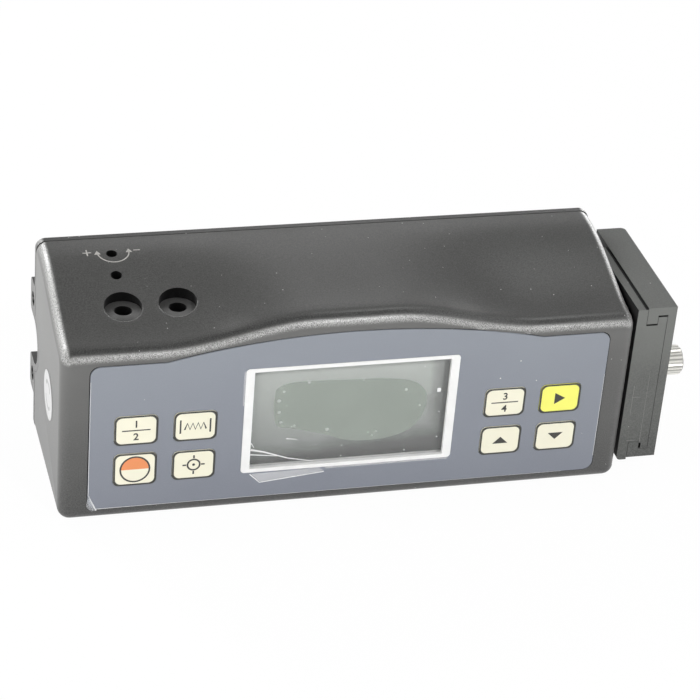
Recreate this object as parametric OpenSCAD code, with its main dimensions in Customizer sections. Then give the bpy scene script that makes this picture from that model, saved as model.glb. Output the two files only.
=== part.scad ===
// Hand-held surface roughness tester, lying on its long base with the display to the front.
// Millimetres. The modules measure x from the left end, y from the front face and z from the base.

/* [Housing] */
// length of the housing without the end block
body_l = 140.8; // [134:0.1:150]
// height of the housing at its rear edge
body_h = 54.3; // [53:0.1:58]
// depth from the front face to the back of the cover
body_d = 42.5; // [41.5:0.1:46]
// thickness of the moulded walls
wall = 2.2; // [1.9:0.1:2.5]
// radius of the end edges
end_r = 3; // [2.2:0.1:3.6]
// radius of the front edge of the top
front_r = 4; // [3:0.1:4.6]
// radius of the front edge of the base
base_r = 2.5; // [1.8:0.1:3.2]
// how far the front shoulder lies below the rear edge
shoulder_drop = 7.6; // [6.5:0.1:8.2]
// how far the front edge arches up over the display
arch_rise = 5.9; // [4.8:0.1:6.4]
// thickness of the back cover
cover_t = 2.2; // [1.8:0.1:2.6]
// corner radius of the back cover
cover_r = 2.4; // [1.2:0.1:3]
// diameter of the round label on the left end
label_d = 12.4; // [10:0.1:14]
// radius of the cover's rear edge
cover_edge = 0.4; // [0.2:0.1:1]
// width and depth of the seam groove between housing and cover
seam = 0.35; // [0.2:0.01:0.5]

/* [Front panel] */
// thickness of the printed front film
film_t = 0.35; // [0.3:0.01:0.45]
// depth of the shallow seat for the film
seat_t = 0.2; // [0.1:0.01:0.25]
// width of a key
key_w = 10.3; // [9.6:0.1:10.8]
// height of a key
key_h = 8.1; // [7.4:0.1:8.4]
// travel of a key
key_travel = 0.3; // [0.2:0.01:0.35]
// outer width of the display frame
disp_w = 52.6; // [50:0.1:54]
// outer height of the display frame
disp_h = 29.5; // [27.5:0.1:30.5]
// side width of the display frame
rim_w = 2.1; // [1.6:0.1:2.4]
// top and bottom width of the display frame
rim_h = 1.0; // [0.8:0.1:1.3]
// corner radius of the display frame
disp_r = 0.9; // [0.4:0.1:1.4]

/* [Top openings] */
// diameter of the two small access holes
access_d = 2.6; // [2.2:0.1:3]
// diameter of the round recess around a socket
recess_d = 9; // [8:0.1:9.6]
// diameter of a socket opening
socket_d = 4.2; // [3.8:0.1:4.6]

/* [Measuring side] */
// radius of the trough along the back
trough_r = 6.2; // [5.8:0.1:6.6]
// how far the two feet stand out from the back cover
foot_out = 5.5; // [4.5:0.1:6.5]
// height of a foot
foot_h = 9.2; // [8:0.1:10]
// length of a foot
foot_l = 12; // [9:0.5:16]

/* [End block] */
// gap between the housing and the rail plate
block_gap = 0.5; // [0.4:0.1:1.5]
// thickness of the rail plate with the sliding foot
block_t = 10.1; // [9.6:0.1:11]
// depth of the sliding foot
sleeve_d = 39.8; // [36:0.1:42]
// wall of the sliding foot
sleeve_w = 2.2; // [1.9:0.1:2.5]
// diameter of the lock knob
knob_d = 7.5; // [7:0.1:9]
// length of the knurled part of the knob
knob_l = 6.1; // [5:0.1:9]

/* [Drive] */
// travel of the pickup
stroke = 6; // [4:0.1:7]
// diameter of the guide rods
rod_d = 3; // [2.6:0.1:3.2]
// diameter of the lead screw
screw_d = 4; // [3.6:0.1:4.2]
// tooth module of the two drive gears
gear_m = 0.5; // [0.47:0.01:0.52]
// diameter of the pickup
pickup_d = 7; // [6:0.1:7.4]

/* [Hidden] */
fit = 0.05;
split_y = body_d - cover_t;
mid_z = 25.5;
slope_d = 0.895 * body_d;
arch_a = 0.164 * body_l;
arch_b = 0.4276 * body_l;
arch_c = 0.5668 * body_l;
arch_d = 0.8313 * body_l;
base_top = body_h - shoulder_drop;

function ease(t) = let (u = min(max(t, 0), 1)) u * u * (3 - 2 * u);
function arch(x) = ease((x - arch_a) / (arch_b - arch_a)) * ease((arch_d - x) / (arch_d - arch_c));
function shoulder(x) = base_top + arch_rise * arch(x);
function top_z(x, y) = shoulder(x) + (body_h - shoulder(x)) * ease(y / slope_d);

// cross section at x, drawn in by e, from the rear of the base round the front to the rear of the top
function ring(x, e, yr, na, nt) =
    let (rb = max(base_r - e, 0.3), rt = max(front_r - e, 0.5), zt = top_z(x, front_r) - e)
    concat(
        [[x, yr, e]],
        [for (i = [0 : na]) let (a = 270 - 90 * i / na) [x, e + rb + rb * cos(a), e + rb + rb * sin(a)]],
        [for (i = [0 : na]) let (a = 180 - 90 * i / na) [x, e + rt + rt * cos(a), zt - rt + rt * sin(a)]],
        [for (i = [1 : nt]) let (y = e + rt + (yr - e - rt) * i / nt) [x, y, top_z(x, y) - e]]
    );
function drawn_in(d) = d >= end_r ? 0 : end_r - sqrt(end_r * end_r - (end_r - d) * (end_r - d));

// skin through a row of sections with the same number of points
module skin(rings) {
    n = len(rings);
    m = len(rings[0]);
    pts = [for (r = rings) for (q = r) q];
    sides = [for (i = [0 : n - 2]) for (j = [0 : m - 1]) let (k = (j + 1) % m)
        each [[i * m + j, i * m + k, (i + 1) * m + k], [i * m + j, (i + 1) * m + k, (i + 1) * m + j]]];
    first = [[for (j = [m : -1 : 1]) j % m]];
    last = [[for (j = [0 : m - 1]) (n - 1) * m + j]];
    polyhedron(points = pts, faces = concat(sides, first, last), convexity = 6);
}

end_steps = [for (i = [0 : 6]) end_r * (1 - cos(90 * i / 6))];
wave_steps = [for (i = [0 : 30]) arch_a + (arch_d - arch_a) * i / 30];
cave_steps = [for (i = [0 : 14]) arch_a + (arch_d - arch_a) * i / 14];

module outer_form(yr) {
    xs = concat(end_steps, wave_steps, [for (i = [6 : -1 : 0]) body_l - end_steps[i]]);
    skin([for (x = xs) ring(x, drawn_in(min(x, body_l - x)), yr, 6, 16)]);
}

module inner_form(yr) {
    xs = concat([wall], cave_steps, [body_l - wall]);
    skin([for (x = xs) ring(x, wall, yr, 3, 8)]);
}

module place() {
    translate([-body_l / 2, -body_d / 2, 0]) children();
}

// a cylinder along y
module bar_y(x, y0, y1, z, d, f = 40) {
    translate([x, y0, z]) rotate([-90, 0, 0]) cylinder(d = d, h = y1 - y0, $fn = f);
}

// a cylinder along x
module bar_x(x0, x1, y, z, d, f = 40) {
    translate([x0, y, z]) rotate([0, 90, 0]) cylinder(d = d, h = x1 - x0, $fn = f);
}

// a cylinder along z
module bar_z(x, y, z0, z1, d, f = 24) {
    translate([x, y, z0]) cylinder(d = d, h = z1 - z0, $fn = f);
}

// a box by its two corners
module box(a, b) {
    translate(a) cube([b[0] - a[0], b[1] - a[1], b[2] - a[2]]);
}

// a plane figure in x and z drawn out along y
module along_y(y0, y1) {
    translate([0, y1, 0]) rotate([90, 0, 0]) linear_extrude(height = y1 - y0) children();
}

// a rectangle with round corners, made of squares and circles
module round_rect(x0, z0, w, h, r) {
    translate([x0 + r, z0]) square([w - 2 * r, h]);
    translate([x0, z0 + r]) square([w, h - 2 * r]);
    for (i = [0, 1]) {
        for (j = [0, 1]) {
            translate([x0 + r + i * (w - 2 * r), z0 + r + j * (h - 2 * r)]) circle(r = r, $fn = 32);
        }
    }
}

// front film outline
film_x0 = 6.9;
film_x1 = body_l - 6.6;
film_z0 = 3.2;
film_z1 = base_top - 3.6;
film_rise = arch_rise - 0.75;
film_gap = 0.2;
arc_a = arch_a + 2;
arc_d = arch_d;
arc_half = (arc_d - arc_a) / 2;
arc_big = (arc_half * arc_half + film_rise * film_rise) / (2 * film_rise);
function film_top(x) = film_z1 + (x < arc_a || x > arc_d ? 0
    : sqrt(arc_big * arc_big - pow(x - arc_a - arc_half, 2)) - arc_big + film_rise);

module film_outline(g = 0) {
    r = 2.4;
    xa = film_x0 - g;
    xb = film_x1 + g;
    za = film_z0 - g;
    zb = film_z1 + g;
    arc = [for (i = [0 : 24]) let (x = arc_a + 2 * arc_half * i / 24) [x, film_top(x) + g]];
    polygon(concat(
        [for (i = [0 : 6]) let (a = 270 - 15 * i) [xa + r + r * cos(a), za + r + r * sin(a)]],
        [for (i = [0 : 6]) let (a = 180 - 15 * i) [xa + r + r * cos(a), zb - r + r * sin(a)]],
        arc,
        [for (i = [0 : 6]) let (a = 90 - 15 * i) [xb - r + r * cos(a), zb - r + r * sin(a)]],
        [for (i = [0 : 6]) let (a = -15 * i) [xb - r + r * cos(a), za + r + r * sin(a)]]
    ));
}

// display
disp_x = 0.4986 * body_l - disp_w / 2;
disp_z = 10.3;
open_w = disp_w - 2 * rim_w;
open_h = disp_h - 2 * rim_h;
lens_y = 0.8;
lens_t = 1;
lcd_y = wall + 0.2;
lcd_t = 2;

module disp_2d(g) {
    round_rect(disp_x - g, disp_z - g, disp_w + 2 * g, disp_h + 2 * g, disp_r + g);
}

// keys: left edge, lower edge, height
key_r = 1.4;
row_a = 21.0;
row_b = 9.95;
room_l = disp_x - film_x0 - 2 * key_w;
room_r = film_x1 - disp_x - disp_w - 2 * key_w;
col_a = film_x0 + 0.366 * room_l;
col_b = col_a + key_w + 0.238 * room_l;
col_c = disp_x + disp_w + 0.433 * room_r;
col_d = col_c + key_w + 0.228 * room_r;
big_key_h = key_h + 0.95;
key_spot = [
    [col_a, row_a, key_h], [col_b, row_a, key_h], [col_a, row_b - 0.5, big_key_h], [col_b, row_b, key_h],
    [col_c, row_a + 0.1, key_h], [col_d, row_a + 0.1, key_h],
    [col_c, row_b + 0.1, key_h], [col_d, row_b + 0.1, key_h]
];
key_gap = 0.12;
key_front = seat_t - film_t - 0.12;
key_back = seat_t + 0.25;
pocket_y = key_back + key_travel + 0.05;
stem_d = 4;
board_y = 5.4;
board_t = 1.6;
dome_h = 0.45;
stem_end = board_y - dome_h - key_travel - 0.1;

function key_mid_x(k) = key_spot[k][0] + key_w / 2;
function key_mid_z(k) = key_spot[k][1] + key_spot[k][2] / 2;

module key_hole_2d(k, g) {
    s = key_spot[k];
    round_rect(s[0] - g, s[1] - g, key_w + 2 * g, s[2] + 2 * g, key_r + g);
}

module key_form(k) {
    along_y(key_front, key_back) key_hole_2d(k, 0);
    bar_y(key_mid_x(k), key_back - 0.05, stem_end, key_mid_z(k), stem_d);
}

// top openings, seen from above
trim_x = 17.1;
trim_y = 0.784 * body_d;
lamp_x = 17;
lamp_y = 0.604 * body_d;
jack_x = [17, 30.1];
jack_y = 0.37 * body_d;
jack_floor = top_z(jack_x[0], jack_y - recess_d / 2 + 0.6);
jack_base = jack_floor - 2.4;

// corner posts for the back cover
post_x = [5, body_l - 5];
post_z = [7.2, body_h - 8];
post_d = 6.2;
post_y = split_y - 14.3;
pilot_d = 2.2;
pilot_y = post_y + 3;
screw_end_y = pilot_y + 2;

// posts for the main board
stand_x = [9, body_l - 9];
stand_z = [6.4, base_top - 8.1];

// middle of the round label
label_y = 17.8;
label_z = 25;

// heads of the small screws inside
head_d = 3.6;
head_h = 1.3;

// shelf board for the sockets
shelf_z = base_top - 9.3;
shelf_x1 = jack_x[1] + 10.9;
shelf_t = 1.6;

// end block
plate_x0 = body_l + block_gap;
plate_t = 2.55;
rail_y0 = 1.44;
rail_d = 31;
block_x1 = plate_x0 + block_t;
block_z0 = 4.6;
block_z1 = base_top + 1.5;
slip = 0.1;
sleeve_x0 = plate_x0 + plate_t + slip;
hook_x1 = sleeve_x0 + 2.75;
side_x0 = block_x1 - sleeve_w;
hook_drop = 4.5;
hook_gap = 0.45;
block_mid = (block_z0 + block_z1) / 2;
lock_y = rail_y0 + 9.9;
plate_bolt_z = [block_mid - 10.5, block_mid + 10.5];
plate_bolt_y = rail_y0 + 19;

// drive
drive_x0 = 0.457 * body_l;
drive_x1 = 0.929 * body_l;
trough_t = 1.8;
trough_y = body_d - trough_r - trough_t;
base_t = 1.5;
base_y = trough_y - base_t - 0.3;
screw_y = base_y - 6.8;
screw_z = mid_z;
rod_z = [mid_z - 9.2, mid_z + 9.2];
gear_n = 30;
pinion_n = 10;
gear_gap = 0.1;
motor_y = screw_y - gear_m * (gear_n + pinion_n) / 2 - gear_gap;
motor_d = 8.6;
motor_l = 20;
gear_x0 = drive_x0 - 5;
gear_w = 3;
carriage_x0 = drive_x0 + 26;
carriage_l = 16;
arm_x0 = carriage_x0 + 4;
arm_l = 8;
arm_w = 4;
carriage_y0 = screw_y - 4.8;
carriage_y1 = screw_y + 5.6;
pickup_y = body_d - 1.2;
mount_y = body_d - trough_r + 0.7;
pickup_x0 = carriage_x0 + 1;
pickup_x1 = drive_x1 - 1;
pivot_x = pickup_x0 + 17;
tip_x = pickup_x1 - 3.2;
skid_x = pickup_x1 - 6.6;
tip_y = body_d + foot_out - 0.35;
frame_post_x = [drive_x0 + 7, drive_x1 - 6];
frame_post_z = [mid_z - 12.6, mid_z + 12.6];
cell_d = 14;
cell_y = trough_y - 2.3 - cell_d / 2;
cell_gap = 0.4;
cell_z0 = wall + cell_gap + cell_d / 2;
cell_z = [cell_z0, cell_z0 + cell_d + cell_gap];
cell_x0 = 11;
cell_l = drive_x0 - 9 - cell_x0;
cradle_y1 = cell_y - 5.2;

// moulded tub with front, top, base and ends in one piece
module housing() color("#3a3b3c") place() {
    difference() {
        outer_form(split_y);
        difference() {
            inner_form(split_y + 1);
            for (x = post_x) {
                for (z = post_z) {
                    bar_y(x, post_y, split_y, z, post_d);
                }
            }
            for (x = stand_x) {
                for (z = stand_z) {
                    bar_y(x, 0, board_y, z, 5);
                }
            }
            for (x = jack_x) {
                translate([x, jack_y, jack_base]) cylinder(d = recess_d + 3.4, h = 20, $fn = 48);
            }
            box([0, 9, shelf_z - 3], [wall + 5, split_y - 12, shelf_z]);
            for (z = plate_bolt_z) {
                bar_x(body_l - wall - 5, body_l, plate_bolt_y, z, 7);
            }
        }
        along_y(-1, seat_t) film_outline(film_gap);
        along_y(-1, wall + 1) disp_2d(fit);
        for (k = [0 : 7]) {
            along_y(-1, pocket_y) key_hole_2d(k, key_gap);
            bar_y(key_mid_x(k), 0, wall + 1, key_mid_z(k), stem_d + 2 * fit);
        }
        translate([trim_x, trim_y, body_h - 12]) cylinder(d = access_d, h = 20, $fn = 32);
        translate([lamp_x, lamp_y, body_h - 12]) cylinder(d = access_d, h = 20, $fn = 32);
        for (x = jack_x) {
            translate([x, jack_y, jack_floor]) cylinder(d = recess_d, h = 20, $fn = 64);
            translate([x, jack_y, jack_base - 1]) cylinder(d = socket_d, h = 20, $fn = 48);
        }
        for (x = post_x) {
            for (z = post_z) {
                bar_y(x, pilot_y, split_y + 1, z, pilot_d, 24);
            }
        }
        for (x = stand_x) {
            for (z = stand_z) {
                bar_y(x, wall - 0.6, board_y + 1, z, 1.8, 24);
            }
        }
        bar_x(-1, body_l + 1, body_d, mid_z, 2 * (trough_r + trough_t) + 0.2, 64);
        for (z = plate_bolt_z) {
            bar_x(body_l - wall - 4.4, body_l + 1, plate_bolt_y, z, 2.6, 24);
        }
    }
}

// outline of the cover at y, drawn in by g
function plate_ring(y, g) = let (r = cover_r - g)
    [for (c = [0 : 3]) for (i = [0 : 5])
        let (
            a = 90 * (c - 1) + 18 * i,
            x = c < 2 ? body_l - cover_r : cover_r,
            z = c == 1 || c == 2 ? body_h - cover_r : cover_r
        )
        [x + r * cos(a), y, z + r * sin(a)]];

// flat cover of the measuring side with the trough and the two feet
module back_cover() color("#343536") place() {
    difference() {
        union() {
            skin(concat(
                [plate_ring(split_y, seam), plate_ring(split_y + seam, seam), plate_ring(split_y + seam, 0)],
                [for (a = [0 : 30 : 90])
                    plate_ring(body_d - cover_edge * (1 - sin(a)), cover_edge * (1 - cos(a)))]
            ));
            intersection() {
                bar_x(0, body_l, body_d, mid_z, 2 * (trough_r + trough_t), 64);
                box([0, 0, 0], [body_l, body_d, body_h]);
            }
            for (s = [-1, 1]) {
                foot_z = mid_z + s * (trough_r + foot_h / 2) - foot_h / 2;
                rotate([90, 0, 90]) linear_extrude(height = foot_l)
                    round_rect(split_y + 0.4, foot_z, body_d + foot_out - split_y - 0.4, foot_h, 1.6);
            }
            for (x = frame_post_x) {
                for (z = frame_post_z) {
                    bar_y(x, base_y + base_t, split_y + 0.5, z, 5);
                }
            }
        }
        bar_x(-1, body_l + 1, body_d, mid_z, 2 * trough_r, 64);
        box([-1, body_d, mid_z - trough_r], [body_l + 1, body_d + foot_out + 1, mid_z + trough_r]);
        for (s = [-1, 1]) {
            bar_x(-1, 8, body_d + 1.7, mid_z + s * (trough_r + foot_h / 2), 3.7, 32);
        }
        box([arm_x0 - stroke - 1.2, body_d - trough_r - 4, mid_z - arm_w / 2 - 0.8],
            [arm_x0 + arm_l + 1.2, body_d - 3, mid_z + arm_w / 2 + 0.8]);
        for (x = post_x) {
            for (z = post_z) {
                bar_y(x, split_y - 1, body_d + 1, z, 2.8, 24);
                bar_y(x, body_d - 1.2, body_d + 1, z, 5.2, 32);
            }
        }
        for (x = frame_post_x) {
            for (z = frame_post_z) {
                bar_y(x, base_y, split_y - 1, z, 1.8, 24);
            }
        }
    }
}

module cover_screws() color("#8d8f92") place() {
    for (x = post_x) {
        for (z = post_z) {
            difference() {
                union() {
                    bar_y(x, body_d - 1.2, body_d - 0.1, z, 4.8, 32);
                    bar_y(x, screw_end_y, body_d - 1.1, z, pilot_d - 0.04, 24);
                }
                box([x - 1.7, body_d - 0.6, z - 0.35], [x + 1.7, body_d + 1, z + 0.35]);
                box([x - 0.35, body_d - 0.6, z - 1.7], [x + 0.35, body_d + 1, z + 1.7]);
            }
        }
    }
}

module round_label() color("#f4f4f2") place() {
    bar_x(-0.15, 0, label_y, label_z, label_d, 64);
}

// printed film with windows for the keys and the display
module front_film() color("#989ca6") place() {
    difference() {
        along_y(seat_t - film_t, seat_t) film_outline(0);
        along_y(-2, 2) disp_2d(fit);
        for (k = [0 : 7]) {
            along_y(-2, 2) key_hole_2d(k, key_gap);
        }
    }
}

module key_select() color("#f7f2dc") place() key_form(0);
module key_range() color("#f7f2dc") place() key_form(1);
module key_power() color("#f28a4c") place() key_form(2);
module key_adjust() color("#f7f2dc") place() key_form(3);
module key_units() color("#f7f2dc") place() key_form(4);
module key_run() color("#f8f060") place() key_form(5);
module key_up() color("#f7f2dc") place() key_form(6);
module key_down() color("#f7f2dc") place() key_form(7);

module display_frame() color("#f2f3f1") place() {
    difference() {
        along_y(seat_t - film_t - 0.05, wall + 0.2) disp_2d(0);
        along_y(-2, wall + 2) translate([disp_x + rim_w, disp_z + rim_h]) square([open_w, open_h]);
        along_y(lens_y, wall + 2) translate([disp_x + 0.8, disp_z + 0.5]) square([disp_w - 1.6, disp_h - 1]);
    }
}

module display_lens() color("#cfd6d2") place() {
    along_y(lens_y, lens_y + lens_t)
        translate([disp_x + 0.8 + fit, disp_z + 0.5 + fit])
        square([disp_w - 1.6 - 2 * fit, disp_h - 1 - 2 * fit]);
}

module lens_film() color("#dfe6e2") place() {
    along_y(lens_y - 0.12, lens_y)
        translate([disp_x + rim_w + 0.1, disp_z + rim_h + 0.1])
        square([open_w - 0.2, open_h - 0.2]);
}

module lcd_glass() color("#a2a99f") place() {
    along_y(lcd_y, lcd_y + lcd_t) disp_2d(1);
}

module backlight() color("#e9ecea") place() {
    along_y(lcd_y + lcd_t, board_y) disp_2d(0.6);
}

module main_board() color("#2f6b3c") place() {
    difference() {
        box([6, board_y, 4], [body_l - 6, board_y + board_t, base_top - 5.6]);
        for (x = stand_x) {
            for (z = stand_z) {
                bar_y(x, board_y - 1, board_y + board_t + 1, z, 2.2, 24);
            }
        }
    }
}

module board_screws() color("#b9bbbd") place() {
    for (x = stand_x) {
        for (z = stand_z) {
            bar_y(x, wall + 0.2, board_y + board_t + 0.1, z, 1.76, 24);
            bar_y(x, board_y + board_t, board_y + board_t + head_h, z, head_d, 32);
        }
    }
}

// eight spring domes on the board, one under each key
module snap_domes() color("#c9b37a") place() {
    for (k = [0 : 7]) {
        bar_y(key_mid_x(k), board_y - 0.15, board_y, key_mid_z(k), 6);
        bar_y(key_mid_x(k), board_y - dome_h, board_y - 0.1, key_mid_z(k), 3.6);
    }
}

module socket_board() color("#2f6b3c") place() {
    difference() {
        box([wall + 0.3, board_y + board_t, shelf_z], [shelf_x1, split_y - 3, shelf_z + shelf_t]);
        bar_y(stand_x[0], board_y, board_y + board_t + head_h + 0.5, stand_z[1], head_d + 1);
    }
}

module jack_form(i) {
    h = jack_base - shelf_z - shelf_t;
    difference() {
        translate([jack_x[i] - 4.2, jack_y - 4.2, shelf_z + shelf_t]) cube([8.4, 8.4, h]);
        translate([jack_x[i], jack_y, shelf_z + shelf_t + 1.2]) cylinder(d = socket_d - 0.7, h = h, $fn = 40);
    }
}

module charge_jack() color("#1d1e1f") place() jack_form(0);

module data_jack() color("#202123") place() jack_form(1);

trim_top = shelf_z + shelf_t + 6;

module trimmer_body() color("#2b5f9e") place() {
    difference() {
        translate([trim_x - 3.2, trim_y - 3.2, shelf_z + shelf_t]) cube([6.4, 6.4, 6]);
        translate([trim_x, trim_y, trim_top - 4]) cylinder(d = 2.4 + 2 * fit, h = 5, $fn = 32);
    }
}

module trimmer_rotor() color("#d9b45a") place() {
    difference() {
        union() {
            translate([trim_x, trim_y, trim_top - 3.5]) cylinder(d = 2.4, h = 3.6, $fn = 32);
            translate([trim_x, trim_y, trim_top + 0.05]) cylinder(d = 4, h = 1.2, $fn = 32);
        }
        translate([trim_x - 3, trim_y - 0.3, trim_top + 0.65]) cube([6, 0.6, 2]);
    }
}

module charge_lamp() color("#8a2a26") place() {
    translate([lamp_x, lamp_y, shelf_z + shelf_t]) cylinder(d = 3.6, h = 1, $fn = 32);
    translate([lamp_x, lamp_y, shelf_z + shelf_t]) cylinder(d = 3, h = 7, $fn = 32);
    translate([lamp_x, lamp_y, shelf_z + shelf_t + 7]) sphere(d = 3, $fn = 32);
}

module battery_cells() color("#3f8f55") place() {
    for (z = cell_z) {
        bar_x(cell_x0, cell_x0 + cell_l, cell_y, z, cell_d, 48);
        bar_x(cell_x0 + cell_l - 0.1, cell_x0 + cell_l + 1.2, cell_y, z, 5, 32);
    }
}

module battery_cradle() color("#26282a") place() {
    difference() {
        box([cell_x0 + 2, board_y + board_t, cell_z[0] - 6.4],
            [cell_x0 + cell_l - 2, cradle_y1, cell_z[1] + 6.4]);
        for (z = cell_z) {
            bar_x(cell_x0, cell_x0 + cell_l, cell_y, z, cell_d + 2 * fit, 48);
        }
        box([cell_x0 + 10, board_y + board_t + 1.5, 0], [cell_x0 + cell_l - 10, cradle_y1 + 1, body_h]);
    }
}

// bent bracket that carries the rods, the screw and the motor
module drive_frame() color("#a9adb0") place() {
    difference() {
        union() {
            box([drive_x0, base_y, mid_z - 15.4], [drive_x1, base_y + base_t, mid_z + 15.4]);
            box([drive_x0, motor_y - 3.4, mid_z - 12.6], [drive_x0 + 2, base_y + 0.1, mid_z + 12.6]);
            box([drive_x1 - 2, screw_y - 4, mid_z - 12.6], [drive_x1, base_y + 0.1, mid_z + 12.6]);
        }
        for (z = rod_z) {
            bar_x(drive_x0 - 1, drive_x1 + 1, screw_y, z, rod_d + 0.04);
        }
        bar_x(drive_x0 - 1, drive_x1 + 1, screw_y, screw_z, screw_d + 2 * fit);
        bar_x(drive_x0 - 1, drive_x0 + 3, motor_y, screw_z, 4.2);
        box([arm_x0 - stroke - 1.2, base_y - 1, mid_z - arm_w / 2 - 0.8],
            [arm_x0 + arm_l + 1.2, base_y + base_t + 1, mid_z + arm_w / 2 + 0.8]);
        for (x = frame_post_x) {
            for (z = frame_post_z) {
                bar_y(x, base_y - 1, base_y + base_t + 1, z, 2.2, 24);
            }
        }
    }
}

module frame_screws() color("#b9bbbd") place() {
    for (x = frame_post_x) {
        for (z = frame_post_z) {
            bar_y(x, base_y - head_h, base_y, z, head_d, 32);
            bar_y(x, base_y - 0.1, split_y - 2.5, z, 1.76, 24);
        }
    }
}

module guide_rods() color("#c9ccce") place() {
    for (z = rod_z) {
        bar_x(drive_x0 - 0.4, drive_x1 + 0.4, screw_y, z, rod_d);
    }
}

module lead_screw() color("#b7babd") place() {
    bar_x(gear_x0 - 0.4, drive_x1 + 0.6, screw_y, screw_z, screw_d);
}

// spur gear with straight-flanked teeth on the pitch circle, axis along x
module spur(n, w, bore) {
    rp = gear_m * n / 2;
    ro = rp + 0.9 * gear_m;
    ri = rp - 1.2 * gear_m;
    step = 360 / n;
    tooth = [[ri, -0.34], [rp, -0.235], [ro, -0.11], [ro, 0.11], [rp, 0.235], [ri, 0.34]];
    rotate([0, 90, 0]) linear_extrude(height = w) difference() {
        polygon([for (i = [0 : n - 1]) for (q = tooth)
            let (a = step * (i + q[1])) [q[0] * cos(a), q[0] * sin(a)]]);
        circle(d = bore, $fn = 32);
    }
}

module drive_gear() color("#c4a24e") place() {
    translate([gear_x0, screw_y, screw_z]) rotate([90 + 180 / gear_n, 0, 0])
        spur(gear_n, gear_w, screw_d + 0.02);
}

module motor() color("#b4b7b9") place() {
    difference() {
        union() {
            bar_x(drive_x0 + 2, drive_x0 + 2 + motor_l, motor_y, screw_z, motor_d, 48);
            bar_x(drive_x0 + 0.4, drive_x0 + 2.1, motor_y, screw_z, 4, 40);
        }
        bar_x(drive_x0 - 1, drive_x0 + 12, motor_y, screw_z, 1.5 + 2 * fit, 24);
    }
}

module motor_pinion() color("#c4a24e") place() {
    translate([gear_x0, motor_y, screw_z]) rotate([90, 0, 0]) spur(pinion_n, gear_w, 1.48);
    bar_x(gear_x0 - 0.3, drive_x0 + 11.5, motor_y, screw_z, 1.5, 24);
}

// slider on the rods with the arm that reaches through the trough
module carriage() color("#2d2f31") place() {
    difference() {
        union() {
            box([carriage_x0, carriage_y0, mid_z - 12.2],
                [carriage_x0 + carriage_l, carriage_y1, mid_z + 12.2]);
            box([arm_x0, carriage_y1 - 0.1, mid_z - arm_w / 2],
                [arm_x0 + arm_l, mount_y, mid_z + arm_w / 2]);
        }
        for (z = rod_z) {
            bar_x(carriage_x0 - 1, carriage_x0 + carriage_l + 1, screw_y, z, rod_d + 2 * fit);
        }
        bar_x(carriage_x0 - 1, carriage_x0 + carriage_l + 1, screw_y, screw_z, screw_d + 1);
        bar_x(carriage_x0 - 1, carriage_x0 + 8, screw_y, screw_z, 8 + 0.02);
    }
}

module drive_nut() color("#c4a24e") place() {
    difference() {
        bar_x(carriage_x0 - 0.6, carriage_x0 + 8, screw_y, screw_z, 8);
        bar_x(carriage_x0 - 2, carriage_x0 + 9, screw_y, screw_z, screw_d + 2 * fit);
    }
}

// inductive pickup in the trough
module pickup_body() color("#9da1a4") place() {
    difference() {
        union() {
            bar_x(pickup_x0, pickup_x1, pickup_y, mid_z, pickup_d, 48);
            box([arm_x0, mount_y, mid_z - arm_w / 2], [arm_x0 + arm_l, pickup_y, mid_z + arm_w / 2]);
        }
        box([pivot_x - 3, pickup_y - 1.6, mid_z - 1], [pickup_x1 + 1, pickup_y + pickup_d, mid_z + 1]);
        bar_z(pivot_x, pickup_y, mid_z - 2.4, mid_z + 2.4, 1 + 2 * fit);
        bar_y(skid_x, pickup_y, body_d + 9, mid_z + 2.1, 1.6);
    }
}

module skid() color("#7d2130") place() {
    sy = tip_y - 0.8;
    bar_y(skid_x, pickup_y + 0.1, sy, mid_z + 2.1, 1.58, 32);
    translate([skid_x, sy, mid_z + 2.1]) sphere(d = 1.58, $fn = 32);
}

module stylus_arm() color("#d5d7d8") place() {
    box([pivot_x - 2, pickup_y - 0.6, mid_z - 0.6], [tip_x + 0.6, pickup_y + 0.6, mid_z + 0.6]);
    bar_z(pivot_x, pickup_y, mid_z - 2.2, mid_z + 2.2, 1);
    bar_y(tip_x, pickup_y, tip_y - 1, mid_z, 1);
    translate([tip_x, tip_y - 1.05, mid_z]) rotate([-90, 0, 0])
        cylinder(d1 = 1, d2 = 0.16, h = 1.05, $fn = 24);
}

// rail plate of the end block, one profile drawn out along y
module rail_plate() color("#3c3d3f") place() {
    difference() {
        union() {
            along_y(rail_y0, rail_y0 + rail_d) {
                plate_r = 1;
                plate_z0 = block_z0 - 0.6;
                plate_z1 = block_z1 - 0.35;
                rail_h = block_z1 - block_z0 - hook_gap - slip;
                translate([plate_x0, plate_z0 + plate_r]) square([plate_t, plate_z1 - plate_z0 - plate_r]);
                translate([plate_x0 + plate_r, plate_z0]) square([plate_t - plate_r, 2 * plate_r]);
                translate([plate_x0 + plate_r, plate_z0 + plate_r]) circle(r = plate_r, $fn = 32);
                translate([plate_x0, block_z0 + hook_drop + slip])
                    square([side_x0 - slip - plate_x0, rail_h - 2 * hook_drop]);
                translate([hook_x1 + slip, block_z0 + sleeve_w + slip])
                    square([side_x0 - hook_x1 - 2 * slip, rail_h - 2 * sleeve_w]);
            }
            box([body_l, rail_y0 + 8, block_mid - 15],
                [plate_x0 + 0.1, rail_y0 + rail_d - 3, block_mid + 15]);
        }
        box([hook_x1, rail_y0 - 1, block_z0 + 2.6], [hook_x1 + slip + 0.45, rail_y0 + 2, block_z0 + 4.1]);
        for (z = plate_bolt_z) {
            bar_x(body_l - 1, block_x1, plate_bolt_y, z, 3.2, 32);
            bar_x(side_x0 - 3.6, block_x1, plate_bolt_y, z, 6, 32);
        }
    }
}

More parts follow.
